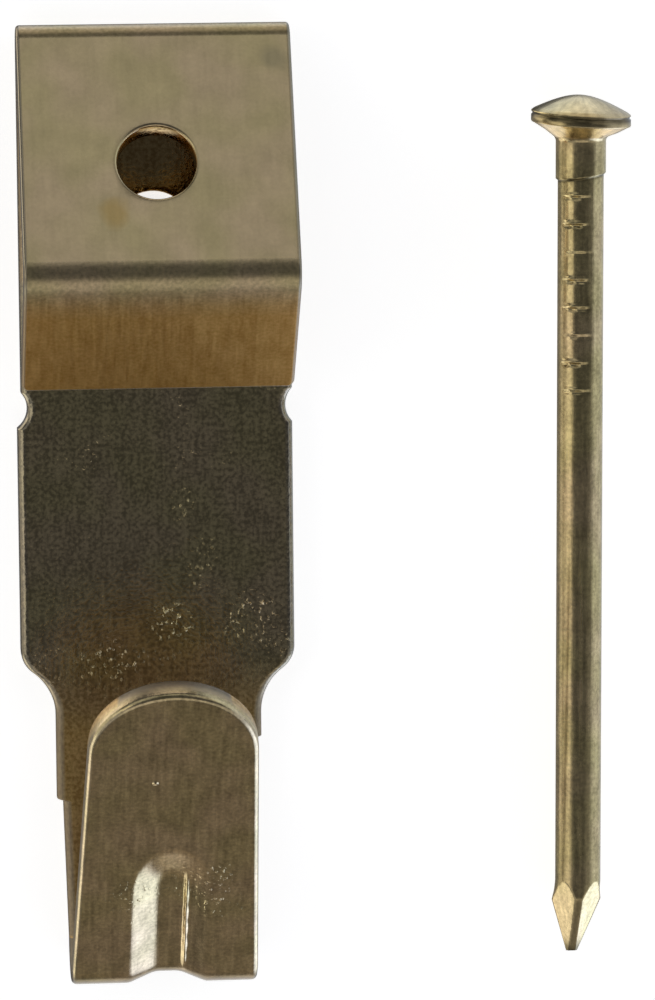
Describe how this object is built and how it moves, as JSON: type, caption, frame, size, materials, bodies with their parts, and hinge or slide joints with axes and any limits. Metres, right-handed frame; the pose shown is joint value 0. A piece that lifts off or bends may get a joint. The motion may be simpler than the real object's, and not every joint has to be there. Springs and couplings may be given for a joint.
{
  "type": "picture hook",
  "caption": "Picture hook folded from a plated strip, with a nose that guides its nail at a slant and a leaning round-ended tongue, lying beside its domed nail.",
  "frame": {"origin": "centre of the nail hole in the wall plate, on the face that lies against the wall", "axes": "+Y up the wall towards the top fold, +Z away from the wall, +X to the right seen from the front"},
  "size_m": [0.0201, 0.0314, 0.0103],
  "materials": {
    "plated_strip": "bright plated, lightly brushed along the strip",
    "plated_wire": "bright plated"
  },
  "bodies": {
    "root": {"hook": "plated_strip", "nail": "plated_wire"}
  },
  "joints": []
}
